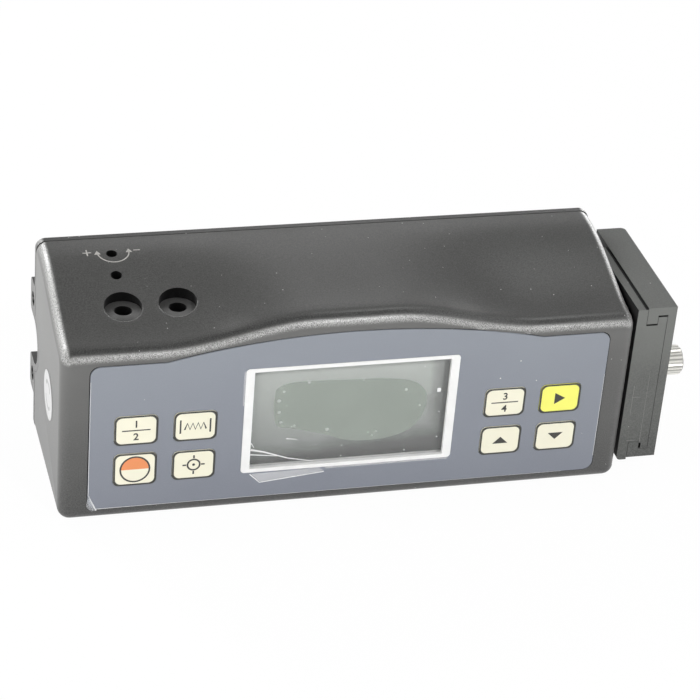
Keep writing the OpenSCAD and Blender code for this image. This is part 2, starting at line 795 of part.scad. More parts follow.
module plate_screws() color("#8d8f92") place() {
    for (z = plate_bolt_z) {
        difference() {
            union() {
                bar_x(side_x0 - 3.6, side_x0 - 1, plate_bolt_y, z, 5.5, 32);
                bar_x(body_l - wall - 3.6, side_x0 - 3.5, plate_bolt_y, z, 2.56, 24);
            }
            bar_x(side_x0 - 2.4, side_x0, plate_bolt_y, z, 2.5, 6);
        }
    }
}

// foot that slides on the rail, one profile drawn out along y
module slide_foot() color("#414244") place() {
    corner = 1.3;
    difference() {
        intersection() {
            along_y(rail_y0, rail_y0 + sleeve_d) difference() {
                translate([sleeve_x0, block_z0]) square([block_x1 - sleeve_x0, block_z1 - block_z0]);
                translate([sleeve_x0 - 1, block_z0 + hook_drop])
                    square([hook_x1 - sleeve_x0 + 1.5, block_z1 - block_z0 - 2 * hook_drop]);
                translate([hook_x1, block_z0 + sleeve_w])
                    square([side_x0 - hook_x1, block_z1 - block_z0 - 2 * sleeve_w]);
            }
            translate([0, 0, block_z0 - 1]) linear_extrude(height = block_z1 - block_z0 + 2) {
                sleeve_l = block_x1 - sleeve_x0 + 1;
                translate([sleeve_x0 - 1, rail_y0 - 1]) square([sleeve_l, sleeve_d - corner + 1]);
                translate([sleeve_x0 - 1, rail_y0]) square([sleeve_l - corner, sleeve_d]);
                translate([block_x1 - corner, rail_y0 + sleeve_d - corner]) circle(r = corner, $fn = 40);
            }
        }
        bar_x(side_x0 - 1, block_x1 + 1, lock_y, block_mid, 6);
    }
}

module lock_bush() color("#c4a24e") place() {
    difference() {
        bar_x(side_x0, block_x1, lock_y, block_mid, 5.98);
        bar_x(side_x0 - 1, block_x1 + 1, lock_y, block_mid, 4 + 2 * fit);
    }
}

// knurled screw that locks the foot on its rail
module lock_knob() color("#c2c5c7") place() {
    ridges = 22;
    translate([block_x1 + 0.6, lock_y, block_mid]) rotate([0, 90, 0]) linear_extrude(height = knob_l)
        polygon([for (i = [0 : 2 * ridges - 1]) let (r = knob_d / 2 - (i % 2) * 0.3, a = 180 * i / ridges)
            [r * cos(a), r * sin(a)]]);
    bar_x(block_x1 + 0.6 + knob_l - 0.1, block_x1 + 1 + knob_l, lock_y, block_mid, knob_d - 1.2, 48);
    bar_x(block_x1 + 0.1, block_x1 + 0.7, lock_y, block_mid, 6.4);
    bar_x(side_x0, block_x1 + 0.7, lock_y, block_mid, 4);
}

housing();
back_cover();
cover_screws();
round_label();
front_film();
key_select();
key_range();
key_power();
key_adjust();
key_units();
key_run();
key_up();
key_down();
display_frame();
display_lens();
lens_film();
lcd_glass();
backlight();
main_board();
board_screws();
snap_domes();
socket_board();
charge_jack();
data_jack();
trimmer_body();
trimmer_rotor();
charge_lamp();
battery_cells();
battery_cradle();
drive_frame();
frame_screws();
guide_rods();
lead_screw();
drive_gear();
motor();
motor_pinion();
carriage();
drive_nut();
pickup_body();
skid();
stylus_arm();
rail_plate();
plate_screws();
slide_foot();
lock_bush();
lock_knob();
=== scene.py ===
"""Looks of the hand-held surface roughness tester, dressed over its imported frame."""
import math

import bmesh
import bpy
from mathutils import Matrix, Vector
from mathutils.bvhtree import BVHTree


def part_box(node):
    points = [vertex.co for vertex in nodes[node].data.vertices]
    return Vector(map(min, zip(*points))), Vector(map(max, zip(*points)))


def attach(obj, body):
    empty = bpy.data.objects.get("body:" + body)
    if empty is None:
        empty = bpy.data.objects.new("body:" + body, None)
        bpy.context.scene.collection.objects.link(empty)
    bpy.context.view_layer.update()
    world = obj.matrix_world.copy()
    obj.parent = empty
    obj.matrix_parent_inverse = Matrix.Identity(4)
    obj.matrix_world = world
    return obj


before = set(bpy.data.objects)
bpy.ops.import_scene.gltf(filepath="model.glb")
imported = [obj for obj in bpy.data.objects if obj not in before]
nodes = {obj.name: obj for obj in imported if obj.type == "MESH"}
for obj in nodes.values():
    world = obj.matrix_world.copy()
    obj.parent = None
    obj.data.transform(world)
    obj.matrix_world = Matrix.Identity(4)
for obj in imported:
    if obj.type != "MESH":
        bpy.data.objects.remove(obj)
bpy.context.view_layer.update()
MM = 0.001

# Lengths in millimetres count from the housing's left end, the front face and the base.
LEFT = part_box("housing")[0].x
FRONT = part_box("housing")[0].y
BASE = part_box("housing")[0].z

KEYS = ("key_select", "key_range", "key_power", "key_adjust",
        "key_units", "key_run", "key_up", "key_down")
JACKS = ("charge_jack", "data_jack")


def at(x, y, z):
    """A point given in millimetres from the left end, the front face and the base."""
    return Vector((LEFT + x * MM, FRONT + y * MM, BASE + z * MM))


class Face:
    """A node's box in millimetres, seen from the front."""

    def __init__(self, node):
        low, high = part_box(node)
        self.x0 = (low.x - LEFT) / MM
        self.x1 = (high.x - LEFT) / MM
        self.z0 = (low.z - BASE) / MM
        self.z1 = (high.z - BASE) / MM
        self.front = (low.y - FRONT) / MM
        self.mid = ((self.x0 + self.x1) / 2, (self.z0 + self.z1) / 2)


def middle(node):
    """The middle of a node's box."""
    low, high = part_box(node)
    return (low + high) / 2


def middle_mm(node):
    """The middle of a node's box, in millimetres as at() takes them."""
    return (middle(node) - at(0, 0, 0)) / MM


# Camera, in the photograph's place
CAMERA_POINT = at(-80.745, -499.181, 362.541)
CAMERA_RIGHT = Vector((0.967316, -0.242731, 0.073365))
CAMERA_UP = Vector((0.066913, 0.523405, 0.849453))
CAMERA_AHEAD = Vector((0.244588, 0.816779, -0.522540))
SENSOR_MM = 36
FOCAL_PIXELS = 2583.98
IMAGE_PIXELS = 700
CLIP_NEAR = 0.01
CLIP_FAR = 20


def make_camera():
    """The camera that sees the object as the photograph does."""
    data = bpy.data.cameras.new("camera")
    data.sensor_width = SENSOR_MM
    data.lens = FOCAL_PIXELS / IMAGE_PIXELS * SENSOR_MM
    data.clip_start = CLIP_NEAR
    data.clip_end = CLIP_FAR
    camera = bpy.data.objects.new("camera", data)
    turn = Matrix((CAMERA_RIGHT, CAMERA_UP, -CAMERA_AHEAD)).transposed()
    camera.matrix_world = Matrix.Translation(CAMERA_POINT) @ turn.to_4x4()
    bpy.context.scene.collection.objects.link(camera)
    bpy.context.scene.camera = camera


# Where the masks of the painted highlight on the edges and of the painted dark reflection on the
# front lip start, are full, ebb and stop, as parts of a face's normal
FRONT_EDGE = (0.68, 0.82, 0.9, 0.98)
END_EDGE = (0.2, 0.4, 0.75, 0.95)
FRONT_LIP = (0.32, 0.46, 0.6, 0.72)
RISING = (0.15, 0.35)
# Parts of a normal that tell which way a face looks
NEAREST = 0.7
SQUARE = 0.9
SEAT_FLOOR = -0.995
SEAT_WALL = 0.2
# The range that holds most of a noise, and the roughness of a fine grain
NOISE = (0.3, 0.7)
GRAIN = 0.6
# The smallest dust speck, as a share of the largest
SPECK_MIN = 0.35


class Shader:
    """A material under construction, with its Principled node at hand."""

    def __init__(self, name):
        self.material = bpy.data.materials.new(name)
        self.material.use_nodes = True
        self.tree = self.material.node_tree
        self.bsdf = self.tree.nodes["Principled BSDF"]

    def node(self, kind, **values):
        made = self.tree.nodes.new(kind)
        for key, value in values.items():
            setattr(made, key, value)
        return made

    def link(self, a, b):
        self.tree.links.new(a, b)

    def set(self, **values):
        """Constant values, straight on the Principled node's sockets."""
        for key, value in values.items():
            self.bsdf.inputs[key.replace("_", " ")].default_value = value

    def feed(self, socket, value):
        """A link from an output, or else a constant."""
        if hasattr(value, "is_output"):
            self.link(value, socket)
        else:
            socket.default_value = value

    def place(self):
        """Coordinates in metres, in the row frame at rest."""
        return self.node("ShaderNodeTexCoord").outputs["Object"]

    def split(self, vector):
        made = self.node("ShaderNodeSeparateXYZ")
        self.link(vector, made.inputs[0])
        return made.outputs

    def normal(self):
        """The three parts of a face's normal."""
        return self.split(self.node("ShaderNodeTexCoord").outputs["Normal"])

    def noise(self, scale, detail=2.0, rough=0.5):
        made = self.node("ShaderNodeTexNoise")
        made.inputs["Scale"].default_value = scale
        made.inputs["Detail"].default_value = detail
        made.inputs["Roughness"].default_value = rough
        self.link(self.place(), made.inputs["Vector"])
        return made.outputs["Fac"]

    def grain(self, scale, detail=2.0):
        return self.noise(scale, detail, GRAIN)

    def math(self, operation, a, b=0.0):
        made = self.node("ShaderNodeMath", operation=operation)
        self.feed(made.inputs[0], a)
        self.feed(made.inputs[1], b)
        return made.outputs[0]

    def plus(self, a, b):
        return self.math("ADD", a, b)

    def minus(self, a, b):
        return self.math("SUBTRACT", a, b)

    def times(self, a, b):
        return self.math("MULTIPLY", a, b)

    def either(self, a, b):
        return self.math("MAXIMUM", a, b)

    def above(self, value, limit):
        return self.math("GREATER_THAN", value, limit)

    def below(self, value, limit):
        return self.math("LESS_THAN", value, limit)

    def absolute(self, value):
        return self.math("ABSOLUTE", value)

    def fit(self, value, low, high, out_low=0.0, out_high=1.0):
        made = self.node("ShaderNodeMapRange")
        self.feed(made.inputs["Value"], value)
        self.feed(made.inputs["From Min"], low)
        self.feed(made.inputs["From Max"], high)
        self.feed(made.inputs["To Min"], out_low)
        self.feed(made.inputs["To Max"], out_high)
        return made.outputs["Result"]

    def band(self, value, start, full, ebb, stop):
        """A mask that grows from start to full and goes again from ebb to stop."""
        return self.times(self.fit(value, start, full), self.fit(value, ebb, stop, 1, 0))

    def mix(self, share, a, b):
        made = self.node("ShaderNodeMix", data_type="RGBA")
        self.feed(made.inputs["Factor"], share)
        self.feed(made.inputs["A"], (*a, 1) if isinstance(a, tuple) else a)
        self.feed(made.inputs["B"], (*b, 1) if isinstance(b, tuple) else b)
        return made.outputs["Result"]

    def colour(self, value):
        self.feed(self.bsdf.inputs["Base Color"], value)

    def rough(self, value):
        self.feed(self.bsdf.inputs["Roughness"], value)

    def bump(self, height, strength, distance):
        made = self.node("ShaderNodeBump")
        made.inputs["Strength"].default_value = strength
        made.inputs["Distance"].default_value = distance
        self.link(height, made.inputs["Height"])
        self.link(made.outputs["Normal"], self.bsdf.inputs["Normal"])

    def unrolled(self):
        """Flat coordinates on whichever main plane a face lies nearest to."""
        spot = self.split(self.place())
        normal = self.normal()
        on_end = self.above(self.absolute(normal[0]), NEAREST)
        on_front = self.above(self.absolute(normal[1]), NEAREST)
        upright = self.either(on_end, on_front)
        joined = self.node("ShaderNodeCombineXYZ")
        for i, swap in ((0, on_end), (1, upright)):
            change = self.times(swap, self.minus(spot[i + 1], spot[i]))
            self.link(self.plus(spot[i], change), joined.inputs[i])
        return joined.outputs[0]

    def edges(self, normal):
        """A mask of the rounded edges between the top, the front and the ends, for their painted
        highlight and coarser relief.
        """
        on_front = self.band(self.times(normal[1], -1), *FRONT_EDGE)
        on_end = self.band(self.absolute(normal[0]), *END_EDGE)
        return self.times(self.fit(normal[2], *RISING), self.either(on_front, on_end))

    def lip(self, normal):
        """A mask of the upper part of the front's rounded edge, for a painted dark reflection of
        the dark above.
        """
        on_lip = self.band(self.times(normal[1], -1), *FRONT_LIP)
        return self.times(self.fit(normal[2], *RISING), on_lip)

    def apart(self, spot, mid, u, v):
        """The squared distance from the line through a point, across the axes u and v."""
        across = self.minus(spot[u], mid[u])
        along = self.minus(spot[v], mid[v])
        return self.plus(self.times(across, across), self.times(along, along))

    def within(self, spot, mid, radius):
        """A mask of all that lies inside an upright cylinder, sizes in metres."""
        return self.below(self.apart(spot, mid, 0, 1), radius ** 2)

    def between(self, value, low, high):
        return self.times(self.above(value, low), self.below(value, high))

    def sunk(self, spot, facing, face):
        """A mask for painted shade on the floor and the walls of the shallow seat round a film on
        the front.
        """
        left = LEFT + (face.x0 - SEAT_GAP) * MM
        right = LEFT + (face.x1 + SEAT_GAP) * MM
        deep = self.between(spot[1], FRONT + SEAT_MIN, FRONT + SEAT_MAX)
        inside = self.between(spot[0], left, right)
        floor = self.below(facing, SEAT_FLOOR)
        wall = self.below(self.absolute(facing), SEAT_WALL)
        return self.times(self.times(deep, inside), self.either(floor, wall))

    def specks(self, cell, share, radius):
        """A mask of stray round dust specks, in so many of the cells, sizes in metres."""
        made = self.node("ShaderNodeTexVoronoi", voronoi_dimensions="2D")
        made.inputs["Scale"].default_value = 1 / cell
        self.link(self.unrolled(), made.inputs["Vector"])
        chance = self.node("ShaderNodeSeparateColor")
        self.link(made.outputs["Color"], chance.inputs[0])
        chosen = self.below(chance.outputs[0], share)
        largest = radius / cell
        size = self.fit(chance.outputs[1], 0, 1, SPECK_MIN * largest, largest)
        return self.times(chosen, self.below(made.outputs["Distance"], size))


def shade(tone, factor):
    return tuple(factor * c for c in tone)


DUST = (0.7, 0.7, 0.68)
# Colour of the painted highlight on the rounded edges
EDGE_HIGHLIGHT = (0.5, 0.5, 0.49)

# Painted shade inside openings and gaps: lengths in metres, the seat's gap in millimetres
BORE_SHADE = (0.004, 0.004, 0.004)
SMALL_BORE_R = 0.00136
SOCKET_BORE_R = 0.00216
RECESS_R = 0.0045
WALL_T = 0.00005
SEAM_X = 0.0025
SEAT_MIN = 0.00004
SEAT_MAX = 0.0012
SEAT_GAP = 0.3

# Black plastic: shares of its tone, with painted shade that darkens it towards the base, and the
# height at which its painted light is palest
FOOT_TONE = 0.35
HEAD_TONE = 1.9
PALE_AT = 0.045
CLOUD_LIFT = 0.008
LEVEL_FACE = (0.6, 0.9)
LIP_TONE = 0.25
LIP_SHARE = 0.8
SPARK_TONE = 2
SPARK_SHARE = 0.6
DUST_SHARE = 0.6
EDGE_RELIEF = 2
PLASTIC_GLOSS = 0.7
BORE_GLOSS = 0.1


def openings(s, spot, normal, bores, recesses, gap_right, mate, seat):
    """Masks for painted shade: bores, recesses' walls, and faces in a gap, a joint or a film's
    seat.
    """
    dark = [s.within(spot, *bore) for bore in bores]
    for mid, radius in recesses:
        outer = s.within(spot, mid, radius + WALL_T)
        inner = s.within(spot, mid, radius - WALL_T)
        dark.append(s.minus(outer, inner))
    if gap_right is not None:
        dark.append(s.times(s.above(spot[0], gap_right), s.above(normal[2], SQUARE)))
    if mate:
        dark.append(s.below(normal[0], -SQUARE))
    if seat is not None:
        dark.append(s.sunk(spot, normal[1], seat))
    return dark


def black_plastic(name, tone, bores=(), recesses=(), top=0.65,
                  gap_right=None, mate=False, seat=None):
    """Spark-textured black moulding with a little dust, painted highlights on its rounded edges,
    and painted shade in its openings.

    It is painted darker towards the base and on upward faces, which take the share top of the
    tone, and a painted dark reflection lies on the upper part of the front edge. Upward faces to
    the right of gap_right lie in a gap and get painted shade. With mate set, faces to the left
    lie against another piece and get painted shade. The seat is the face of a film let into the
    front; its floor and walls get painted shade.
    """
    s = Shader(name)
    cloud = s.noise(45, 3)
    fine = s.grain(3200)
    coarse = s.grain(4500)
    spot = s.split(s.place())
    normal = s.normal()
    edges = s.edges(normal)
    # Painted shade: darker towards the base, palest up at the shoulder
    height = s.plus(spot[2], s.fit(cloud, *NOISE, -CLOUD_LIFT, CLOUD_LIFT))
    rise = s.fit(height, BASE, BASE + PALE_AT)
    body = s.mix(rise, shade(tone, FOOT_TONE), shade(tone, HEAD_TONE))
    # Painted shade: upward faces take the share top of the tone
    body = s.mix(s.fit(normal[2], *LEVEL_FACE), body, shade(tone, top))
    # Painted dark reflection on the upper part of the front edge
    body = s.mix(s.times(s.lip(normal), LIP_SHARE), body, shade(tone, LIP_TONE))
    body = s.mix(s.fit(fine, 0.35, 0.75, 0, SPARK_SHARE), body, shade(tone, SPARK_TONE))
    # Painted highlight on the rounded edges, broken up by a coarse grain
    body = s.mix(s.times(edges, s.fit(coarse, 0.36, 0.64)), body, EDGE_HIGHLIGHT)
    dust = s.specks(cell=0.0026, share=0.05, radius=0.00016)
    body = s.mix(s.times(dust, DUST_SHARE), body, DUST)
    s.set(Specular_IOR_Level=PLASTIC_GLOSS)
    # Painted shade in bores, recesses' walls, gaps, joints and the film's seat, with less gloss
    # there
    dark = openings(s, spot, normal, bores, recesses, gap_right, mate, seat)
    if dark:
        shadow = dark[0]
        for mask in dark[1:]:
            shadow = s.either(shadow, mask)
        body = s.mix(shadow, body, BORE_SHADE)
        gloss = s.fit(shadow, 0, 1, PLASTIC_GLOSS, BORE_GLOSS)
        s.feed(s.bsdf.inputs["Specular IOR Level"], gloss)
    s.colour(body)
    s.rough(s.fit(s.plus(cloud, fine), 0.6, 1.4, 0.3, 0.42))
    s.set(Sheen_Weight=0.12, Sheen_Roughness=0.4)
    relief = s.plus(fine, s.times(edges, s.times(coarse, EDGE_RELIEF)))
    s.bump(relief, strength=0.3, distance=0.00004)
    return s.material


# Grey film with painted light, paler towards the top: the heights of its darkest and palest tone,
# in metres
FILM_DARK_AT = 0.004
FILM_PALE_AT = 0.044
FILM_LIFT = 0.004


def film_grey():
    """Printed polyester film with a satin face, and painted light that makes it paler towards the
    top.
    """
    s = Shader("grey_film")
    cloud = s.noise(40, 2)
    fine = s.grain(3500)
    # Painted light: paler towards the top
    height = s.plus(s.split(s.place())[2], s.fit(cloud, *NOISE, -FILM_LIFT, FILM_LIFT))
    rise = s.fit(height, BASE + FILM_DARK_AT, BASE + FILM_PALE_AT)
    body = s.mix(rise, (0.207, 0.222, 0.262), (0.258, 0.278, 0.315))
    body = s.mix(s.fit(fine, 0.4, 0.8, 0, 0.1), body, (0.42, 0.44, 0.47))
    s.colour(s.mix(s.specks(cell=0.0046, share=0.05, radius=0.00017), body, DUST))
    s.rough(s.fit(fine, *NOISE, 0.34, 0.44))
    s.bump(fine, strength=0.15, distance=0.00002)
    return s.material


def key_film(name, tone):
    """Printed key face."""
    s = Shader(name)
    cloud = s.noise(160, 2)
    fine = s.grain(4000)
    s.colour(s.mix(s.fit(cloud, *NOISE), shade(tone, 0.96), tone))
    s.rough(s.fit(fine, *NOISE, 0.36, 0.46))
    s.bump(fine, strength=0.1, distance=0.00002)
    return s.material


def print_ink(name, tone):
    """Screen-printed ink, a little uneven."""
    s = Shader(name)
    fine = s.grain(3500)
    s.colour(s.mix(s.fit(fine, *NOISE), shade(tone, 0.82), shade(tone, 1.1)))
    s.rough(s.fit(fine, *NOISE, 0.42, 0.56))
    return s.material


# How far roughness strays to either side on mouldings, and its range on metal, as a factor
ROUGH_STRAY = 0.06
METAL_LOW = 0.8
METAL_HIGH = 1.3


def white_gloss(name, tone, rough):
    """White moulding or label stock."""
    s = Shader(name)
    cloud = s.noise(260, 3)
    s.colour(s.mix(s.fit(cloud, 0.35, 0.65), shade(tone, 0.95), tone))
    s.rough(s.fit(cloud, *NOISE, rough - ROUGH_STRAY, rough + ROUGH_STRAY))
    return s.material


def moulded(name, tone, rough=0.45):
    """Plain moulded or coated inner piece."""
    s = Shader(name)
    cloud = s.noise(200, 3)
    fine = s.noise(5000, 2)
    s.colour(s.mix(s.fit(cloud, *NOISE), shade(tone, 0.85), tone))
    s.rough(s.fit(fine, *NOISE, rough - ROUGH_STRAY, rough + ROUGH_STRAY))
    return s.material


def metal(name, tone, rough):
    """Machined or plated metal."""
    s = Shader(name)
    fine = s.grain(2500, 3)
    s.colour(s.mix(s.fit(fine, *NOISE), shade(tone, 0.85), tone))
    s.rough(s.fit(fine, *NOISE, rough * METAL_LOW, rough * METAL_HIGH))
    s.set(Metallic=1.0)
    return s.material


# Painted shade in the grooves round the knob: depth in metres, where the shade starts, and how
# much
GROOVE_D = 0.0003
GROOVE_LIP = 0.3
GROOVE_SHARE = 0.8
GROOVE_TONE = 0.3
KNOB_SIDE = 0.5


def fluted_metal(name, tone, rough, node):
    """Plated metal, with painted shade in the grooves round a knob that lies along X."""
    s = Shader(name)
    fine = s.grain(2500, 3)
    low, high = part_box(node)
    radius = (high.z - low.z) / 2
    spot = s.split(s.place())
    out = s.math("SQRT", s.apart(spot, middle(node), 1, 2))
    groove = s.fit(out, radius - GROOVE_D, radius - GROOVE_LIP * GROOVE_D, GROOVE_SHARE, 0)
    side = s.below(s.absolute(s.normal()[0]), KNOB_SIDE)
    plain = s.mix(s.fit(fine, *NOISE), shade(tone, 0.9), tone)
    # Painted shade in the grooves, on the knob's sides
    s.colour(s.mix(s.times(groove, side), plain, shade(tone, GROOVE_TONE)))
    s.rough(s.fit(fine, *NOISE, rough * METAL_LOW, rough * METAL_HIGH))
    s.set(Metallic=1.0)
    return s.material


def clear_film(name, tone, alpha, rough=0.2, dust=0.0):
    """See-through film or lens with slight haze, and dust specks in a share of its cells."""
    s = Shader(name)
    cloud = s.noise(150, 2)
    s.colour(s.mix(s.fit(cloud, *NOISE), shade(tone, 0.92), tone))
    s.rough(s.fit(cloud, *NOISE, rough * 0.8, rough * 1.2))
    s.set(Alpha=alpha)
    if dust:
        specks = s.specks(cell=0.0016, share=dust, radius=0.00018)
        s.link(s.fit(specks, 0, 1, alpha, 0.8), s.bsdf.inputs["Alpha"])
    return s.material


# Painted shade on the display, in metres: its top at the left and the right end of the window,
# its soft edge there, its soft edge at the right side, and the heights of the plain tones, which
# are painted shade too, darker towards the bottom
SHADE_TOP = (0.0018, 0.0062)
SHADE_EDGE = (-0.0025, 0.0024)
SHADE_SIDE = (0.0008, 0.0045)
PANE_HEIGHTS = (0.004, 0.024)
PANE_STRAY = 0.003
PANE_DARK = (0.24, 0.258, 0.245)
PANE_PALE = (0.47, 0.5, 0.47)
PANE_SHADE = (0.055, 0.056, 0.054)


def display_pane(window):
    """Unlit grey-green display, with painted shade towards the bottom and the right of its
    window.
    """
    s = Shader("display_pane")
    spot = s.split(s.place())
    left, right = LEFT + window.x0 * MM, LEFT + window.x1 * MM
    stray = s.times(s.minus(s.noise(150, 4, 0.7), 0.5), PANE_STRAY)
    height = s.plus(s.minus(spot[2], BASE + window.z0 * MM), stray)
    inset = s.plus(s.minus(right, spot[0]), stray)
    top = s.fit(spot[0], left, right, *SHADE_TOP)
    low = s.fit(s.minus(height, top), *SHADE_EDGE, 0.98, 0)
    side = s.fit(inset, *SHADE_SIDE, 0.7, 0)
    plain = s.mix(s.fit(height, *PANE_HEIGHTS), PANE_DARK, PANE_PALE)
    s.colour(s.mix(s.either(low, side), plain, PANE_SHADE))
    s.rough(s.fit(s.noise(900, 2), *NOISE, 0.3, 0.4))
    return s.material


HOUSING_TONE = (0.062, 0.062, 0.06)
COVER_TONE = (0.04, 0.04, 0.039)
BLOCK_TONE = (0.074, 0.077, 0.072)
# Share of the block's tone on its upward faces, a painted shade
BLOCK_TOP = 0.9


def dress(window):
    """A material for every CAD node."""
    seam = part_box("rail_plate")[0].x + SEAM_X
    bores = [(middle(name), SMALL_BORE_R) for name in ("trimmer_rotor", "charge_lamp")]
    bores += [(middle(name), SOCKET_BORE_R) for name in JACKS]
    recesses = [(middle(name), RECESS_R) for name in JACKS]
    steel = metal("steel", (0.56, 0.57, 0.58), 0.3)
    brass = metal("brass", (0.72, 0.55, 0.26), 0.28)
    cream = key_film("cream_film", (0.9, 0.87, 0.7))
    board = moulded("board", (0.03, 0.14, 0.06), 0.4)
    jack = moulded("jack", (0.012, 0.012, 0.012), 0.4)
    wear = {
        "housing": black_plastic("housing_black", HOUSING_TONE, bores, recesses,
                                 seat=Face("front_film")),
        "rail_plate": black_plastic("plate_black", BLOCK_TONE, top=BLOCK_TOP,
                                    gap_right=seam, mate=True),
        "slide_foot": black_plastic("foot_black", BLOCK_TONE, top=BLOCK_TOP, mate=True),
        "back_cover": black_plastic("cover_black", COVER_TONE),
        "front_film": film_grey(),
        "display_frame": white_gloss("frame_white", (0.9, 0.9, 0.89), 0.35),
        "display_lens": clear_film("lens_clear", (0.8, 0.82, 0.81), 0.04, 0.08),
        "lens_film": clear_film("film_clear", (0.88, 0.9, 0.89), 0.06, 0.12, 0.06),
        "lcd_glass": display_pane(window),
        "lock_knob": fluted_metal("nickel", (0.93, 0.92, 0.87), 0.46, "lock_knob"),
        "round_label": white_gloss("label_stock", (0.52, 0.52, 0.52), 0.4),
        "carriage": moulded("slider", (0.03, 0.03, 0.032)),
        "battery_cradle": moulded("cradle", (0.03, 0.03, 0.03)),
        "trimmer_body": moulded("trim_blue", (0.03, 0.12, 0.35)),
        "charge_lamp": moulded("lamp_red", (0.2, 0.02, 0.02), 0.2),
        "battery_cells": moulded("cell_green", (0.05, 0.28, 0.1), 0.3),
        "backlight": moulded("light_guide", (0.8, 0.8, 0.8), 0.3),
        "skid": moulded("ruby", (0.25, 0.01, 0.03), 0.15),
    }
    shared = {
        cream: KEYS,
        board: ("main_board", "socket_board"),
        jack: JACKS,
        brass: ("drive_gear", "motor_pinion", "drive_nut", "lock_bush",
                "trimmer_rotor", "snap_domes"),
    }
    for material, names in shared.items():
        for name in names:
            wear[name] = material
    wear["key_run"] = key_film("yellow_film", (0.95, 0.935, 0.18))
    for name, obj in nodes.items():
        obj.data.materials.clear()
        obj.data.materials.append(wear.get(name, steel))


# Edges flatter than this are shaded smooth, once points this close are one
SMOOTH_DEGREES = 28
WELD = 1e-6


def soften(obj):
    """Smooth shading across flat edges, on the CAD node as it is."""
    group = bpy.data.node_groups.new("soften_" + obj.name, "GeometryNodeTree")
    for way in ("INPUT", "OUTPUT"):
        group.interface.new_socket("Geometry", in_out=way, socket_type="NodeSocketGeometry")
    start = group.nodes.new("NodeGroupInput")
    end = group.nodes.new("NodeGroupOutput")
    merge = group.nodes.new("GeometryNodeMergeByDistance")
    merge.inputs["Distance"].default_value = WELD
    clear = group.nodes.new("GeometryNodeRemoveAttribute")
    clear.inputs["Name"].default_value = "custom_normal"
    faces = group.nodes.new("GeometryNodeSetShadeSmooth")
    edges = group.nodes.new("GeometryNodeSetShadeSmooth")
    edges.domain = "EDGE"
    angle = group.nodes.new("GeometryNodeInputMeshEdgeAngle")
    flat = group.nodes.new("FunctionNodeCompare")
    flat.operation = "LESS_THAN"
    flat.inputs["B"].default_value = math.radians(SMOOTH_DEGREES)
    group.links.new(angle.outputs["Unsigned Angle"], flat.inputs["A"])
    group.links.new(start.outputs[0], clear.inputs["Geometry"])
    group.links.new(clear.outputs["Geometry"], merge.inputs["Geometry"])
    group.links.new(merge.outputs["Geometry"], faces.inputs["Geometry"])
    group.links.new(faces.outputs["Geometry"], edges.inputs["Geometry"])
    group.links.new(flat.outputs["Result"], edges.inputs["Shade Smooth"])
    group.links.new(edges.outputs["Geometry"], end.inputs[0])
    modifier = obj.modifiers.new("soften", "NODES")
    modifier.node_group = group


# Plane figures, as lists of loops of points in millimetres
def moved(points, mid):
    return [(mid[0] + u, mid[1] + v) for u, v in points]


def arc(mid, radius, start, stop, count=32):
    """Points on a circle between two angles in degrees."""
    turns = [math.radians(start + (stop - start) * i / count) for i in range(count + 1)]
    return [(mid[0] + radius * math.cos(t), mid[1] + radius * math.sin(t)) for t in turns]


def disc(mid, radius, count=40):
    return arc(mid, radius, 0, 360, count)[:-1]


def rounded(x0, z0, x1, z1, radius):
    """A rectangle with round corners."""
    corners = [((x1 - radius, z1 - radius), 0), ((x0 + radius, z1 - radius), 90),
               ((x0 + radius, z0 + radius), 180), ((x1 - radius, z0 + radius), 270)]
    return [p for mid, start in corners for p in arc(mid, radius, start, start + 90, 8)]


def stroke(points, widths):
    """An outline along a line of points, with a width at each of them."""
    left, right = [], []
    for i, point in enumerate(points):
        before = Vector(points[max(i - 1, 0)])
        after = Vector(points[min(i + 1, len(points) - 1)])
        ahead = (after - before).normalized()
        aside = Vector((-ahead.y, ahead.x)) * (widths[i] / 2)
        left.append(tuple(Vector(point) + aside))
        right.append(tuple(Vector(point) - aside))
    return left + right[::-1]


def even(points, width):
    """An outline of one width along a line of points."""
    return stroke(points, [width] * len(points))


def rounded_loop(points, per=6):
    """A smooth closed curve through the points."""
    loop = []
    n = len(points)
    for i in range(n):
        a, b, c, d = (Vector(points[(i + k - 1) % n]) for k in range(4))
        for step in range(per):
            t = step / per
            loop.append(tuple(0.5 * (2 * b + (c - a) * t + (2 * a - 5 * b + 4 * c - d) * t ** 2
                                     + (3 * b - a - 3 * c + d) * t ** 3)))
    return loop


def cross_outline(half_w, half_h, half_stroke):
    """A plus sign about the origin."""
    w, h, t = half_w, half_h, half_stroke
    return [(-w, -t), (-t, -t), (-t, -h), (t, -h), (t, -t), (w, -t),
            (w, t), (t, t), (t, h), (-t, h), (-t, t), (-w, t)]


# Turns the plane of a figure to face the front, up, or to the left
FACE_FRONT = Matrix(((1, 0, 0), (0, 0, -1), (0, 1, 0)))
FACE_UP = Matrix.Identity(3)
FACE_LEFT = Matrix(((0, 0, -1), (-1, 0, 0), (0, 1, 0)))
# Points this close are one: in metres on a figure, in millimetres on a digit
FIGURE_WELD = 1e-7
DIGIT_WELD = 1e-5


def mesh_of(curve):
    """The mesh of a curve, which is then removed."""
    temporary = bpy.data.objects.new(curve.name, curve)
    bpy.context.scene.collection.objects.link(temporary)
    view = bpy.context.evaluated_depsgraph_get()
    mesh = bpy.data.meshes.new_from_object(temporary.evaluated_get(view))
    bpy.data.objects.remove(temporary)
    bpy.data.curves.remove(curve)
    return mesh


